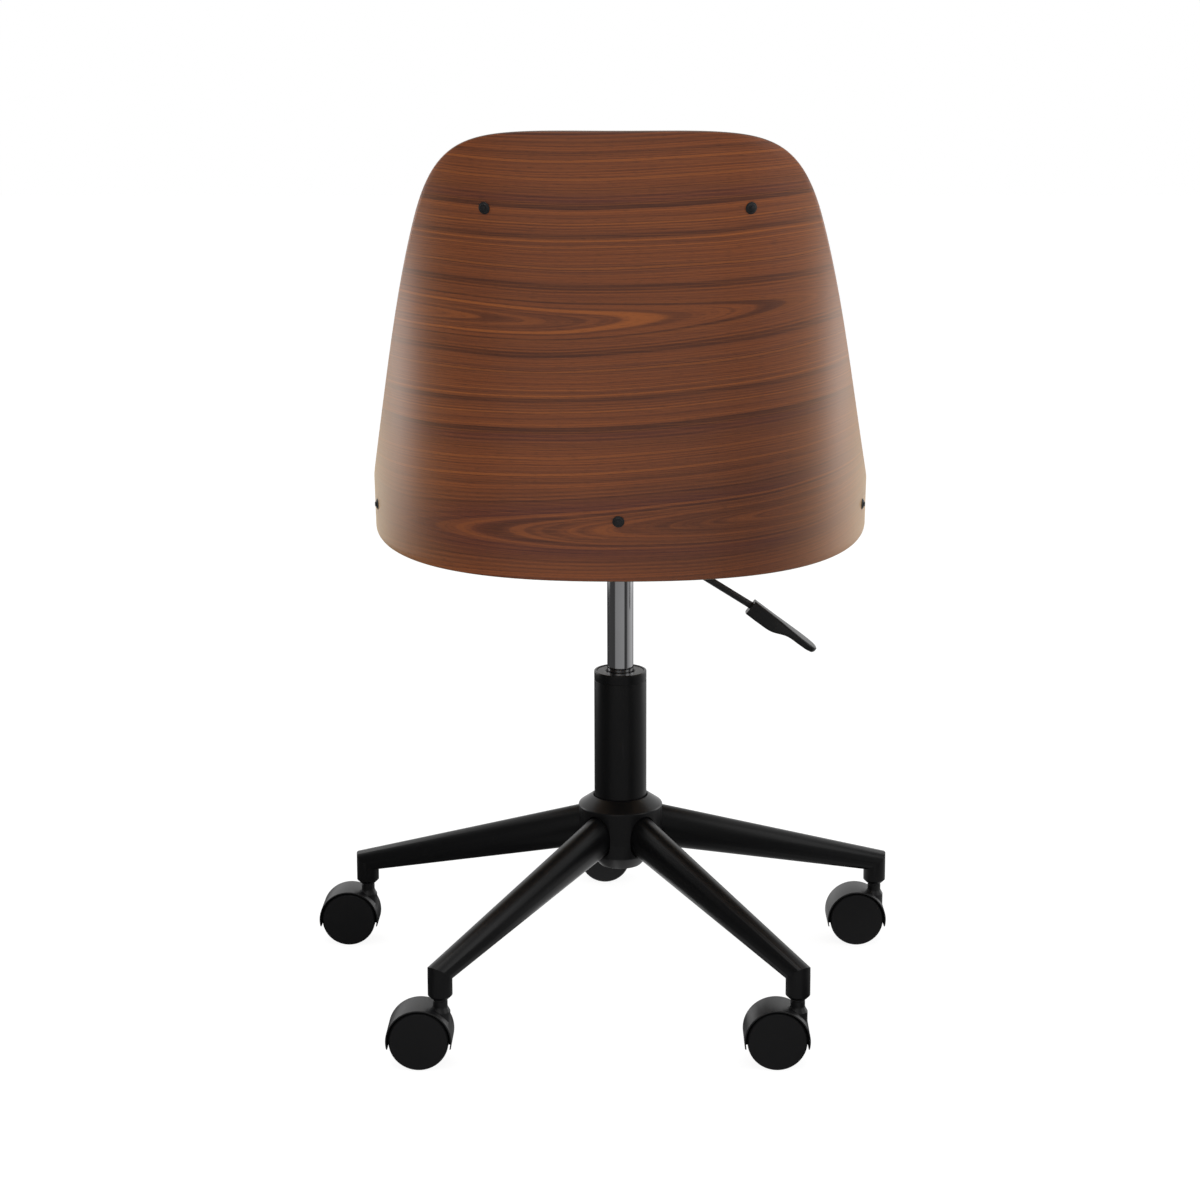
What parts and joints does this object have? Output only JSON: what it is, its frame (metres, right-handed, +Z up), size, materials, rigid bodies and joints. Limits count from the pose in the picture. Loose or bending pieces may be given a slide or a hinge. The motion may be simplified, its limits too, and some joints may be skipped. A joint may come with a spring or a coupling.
{
  "type": "office chair",
  "caption": "Office chair: a bent plywood bucket shell with padded seat and back, on a height-adjustable gas lift and a star base with hooded casters.",
  "frame": {"origin": "centre of the chair's plan extent on the floor; the column's axis stands 18.9 mm to -X of it, because every caster trails to +X", "axes": "+Z up; the chair faces -Y; the height lever is on the -X side"},
  "size_m": [0.5831, 0.5825, 0.84],
  "materials": {
    "black_paint": "satin black paint",
    "black_plastic": "satin",
    "wheel_plastic": "matte",
    "black_steel": "dark satin",
    "polished_steel": "polished",
    "walnut_veneer": "satin lacquer",
    "board_wood": "plain",
    "black_cover": "soft matte"
  },
  "bodies": {
    "base": {"base_hub": "black_paint", "base_leg_1": "black_paint", "base_leg_2": "black_paint", "base_leg_3": "black_paint", "base_leg_4": "black_paint", "base_leg_5": "black_paint", "base_column": "black_paint", "column_bush": "black_plastic", "thrust_bearing": "black_steel", "caster_1_stem": "black_steel", "caster_2_stem": "black_steel", "caster_3_stem": "black_steel", "caster_4_stem": "black_steel", "caster_5_stem": "black_steel"},
    "swivel_rod": {"piston_rod": "black_steel", "retaining_clip": "black_steel"},
    "seat": {"gas_cylinder": "polished_steel", "taper_socket": "black_steel", "seat_plate": "black_paint", "lever_pivot_pin": "black_steel", "plate_bolt_1": "black_steel", "plate_bolt_2": "black_steel", "plate_bolt_3": "black_steel", "plate_bolt_4": "black_steel", "seat_board": "board_wood", "seat_rail": "board_wood", "seat_cushion": "black_cover", "back_shell": "walnut_veneer", "back_pad_board": "board_wood", "back_cushion": "black_cover", "shell_screw_1": "black_steel", "shell_screw_2": "black_steel", "shell_screw_3": "black_steel", "shell_screw_4": "black_steel", "shell_screw_5": "black_steel"},
    "height_lever": {"lever_rod": "black_steel", "lever_paddle": "black_plastic"},
    "valve_pin": {"release_pin": "black_plastic"},
    "caster_1": {"caster_1_housing": "black_plastic", "caster_1_axle": "black_steel"},
    "caster_1_roller_a": {"caster_1_wheel_a": "wheel_plastic"},
    "caster_1_roller_b": {"caster_1_wheel_b": "wheel_plastic"},
    "caster_2": {"caster_2_housing": "black_plastic", "caster_2_axle": "black_steel"},
    "caster_2_roller_a": {"caster_2_wheel_a": "wheel_plastic"},
    "caster_2_roller_b": {"caster_2_wheel_b": "wheel_plastic"},
    "caster_3": {"caster_3_housing": "black_plastic", "caster_3_axle": "black_steel"},
    "caster_3_roller_a": {"caster_3_wheel_a": "wheel_plastic"},
    "caster_3_roller_b": {"caster_3_wheel_b": "wheel_plastic"},
    "caster_4": {"caster_4_housing": "black_plastic", "caster_4_axle": "black_steel"},
    "caster_4_roller_a": {"caster_4_wheel_a": "wheel_plastic"},
    "caster_4_roller_b": {"caster_4_wheel_b": "wheel_plastic"},
    "caster_5": {"caster_5_housing": "black_plastic", "caster_5_axle": "black_steel"},
    "caster_5_roller_a": {"caster_5_wheel_a": "wheel_plastic"},
    "caster_5_roller_b": {"caster_5_wheel_b": "wheel_plastic"}
  },
  "joints": [
    {"name": "seat_swivel", "type": "hinge", "parent": "base", "child": "swivel_rod", "pos_m": [-0.0189, 0, 0.1317], "axis": [0, 0, 1], "continuous": true},
    {"name": "seat_lift", "type": "slide", "parent": "swivel_rod", "child": "seat", "axis": [0, 0, 1], "range_m": [-0.085, 0.015]},
    {"name": "lever_pull", "type": "hinge", "parent": "seat", "child": "height_lever", "pos_m": [-0.0549, 0, 0.4322], "axis": [0, 1, 0], "range_deg": [0, 5], "stiffness_Nm_per_rad": 1.5, "springref_deg": -6.88},
    {"name": "valve_press", "type": "slide", "parent": "seat", "child": "valve_pin", "axis": [0, 0, -1], "range_m": [0, 0.0034], "stiffness_N_per_m": 800, "springref_m": -0.002},
    {"name": "caster_1_swivel", "type": "hinge", "parent": "base", "child": "caster_1", "pos_m": [-0.0189, -0.275, 0.0677], "axis": [0, 0, 1], "continuous": true},
    {"name": "caster_1_roll_a", "type": "hinge", "parent": "caster_1", "child": "caster_1_roller_a", "pos_m": [0, -0.264, 0.0271], "axis": [0, 1, 0], "continuous": true},
    {"name": "caster_1_roll_b", "type": "hinge", "parent": "caster_1", "child": "caster_1_roller_b", "pos_m": [0, -0.286, 0.0271], "axis": [0, 1, 0], "continuous": true},
    {"name": "caster_2_swivel", "type": "hinge", "parent": "base", "child": "caster_2", "pos_m": [0.24264, -0.08498, 0.0677], "axis": [0, 0, 1], "continuous": true},
    {"name": "caster_2_roll_a", "type": "hinge", "parent": "caster_2", "child": "caster_2_roller_a", "pos_m": [0.26154, -0.07398, 0.0271], "axis": [0, 1, 0], "continuous": true},
    {"name": "caster_2_roll_b", "type": "hinge", "parent": "caster_2", "child": "caster_2_roller_b", "pos_m": [0.26154, -0.09598, 0.0271], "axis": [0, 1, 0], "continuous": true},
    {"name": "caster_3_swivel", "type": "hinge", "parent": "base", "child": "caster_3", "pos_m": [0.14274, 0.22248, 0.0677], "axis": [0, 0, 1], "continuous": true},
    {"name": "caster_3_roll_a", "type": "hinge", "parent": "caster_3", "child": "caster_3_roller_a", "pos_m": [0.16164, 0.23348, 0.0271], "axis": [0, 1, 0], "continuous": true},
    {"name": "caster_3_roll_b", "type": "hinge", "parent": "caster_3", "child": "caster_3_roller_b", "pos_m": [0.16164, 0.21148, 0.0271], "axis": [0, 1, 0], "continuous": true},
    {"name": "caster_4_swivel", "type": "hinge", "parent": "base", "child": "caster_4", "pos_m": [-0.18054, 0.22248, 0.0677], "axis": [0, 0, 1], "continuous": true},
    {"name": "caster_4_roll_a", "type": "hinge", "parent": "caster_4", "child": "caster_4_roller_a", "pos_m": [-0.16164, 0.23348, 0.0271], "axis": [0, 1, 0], "continuous": true},
    {"name": "caster_4_roll_b", "type": "hinge", "parent": "caster_4", "child": "caster_4_roller_b", "pos_m": [-0.16164, 0.21148, 0.0271], "axis": [0, 1, 0], "continuous": true},
    {"name": "caster_5_swivel", "type": "hinge", "parent": "base", "child": "caster_5", "pos_m": [-0.28044, -0.08498, 0.0677], "axis": [0, 0, 1], "continuous": true},
    {"name": "caster_5_roll_a", "type": "hinge", "parent": "caster_5", "child": "caster_5_roller_a", "pos_m": [-0.26154, -0.07398, 0.0271], "axis": [0, 1, 0], "continuous": true},
    {"name": "caster_5_roll_b", "type": "hinge", "parent": "caster_5", "child": "caster_5_roller_b", "pos_m": [-0.26154, -0.09598, 0.0271], "axis": [0, 1, 0], "continuous": true}
  ],
  "couplings": [
    {"joint": "valve_press", "follows": "lever_pull", "m_per_rad": 0.038}
  ]
}
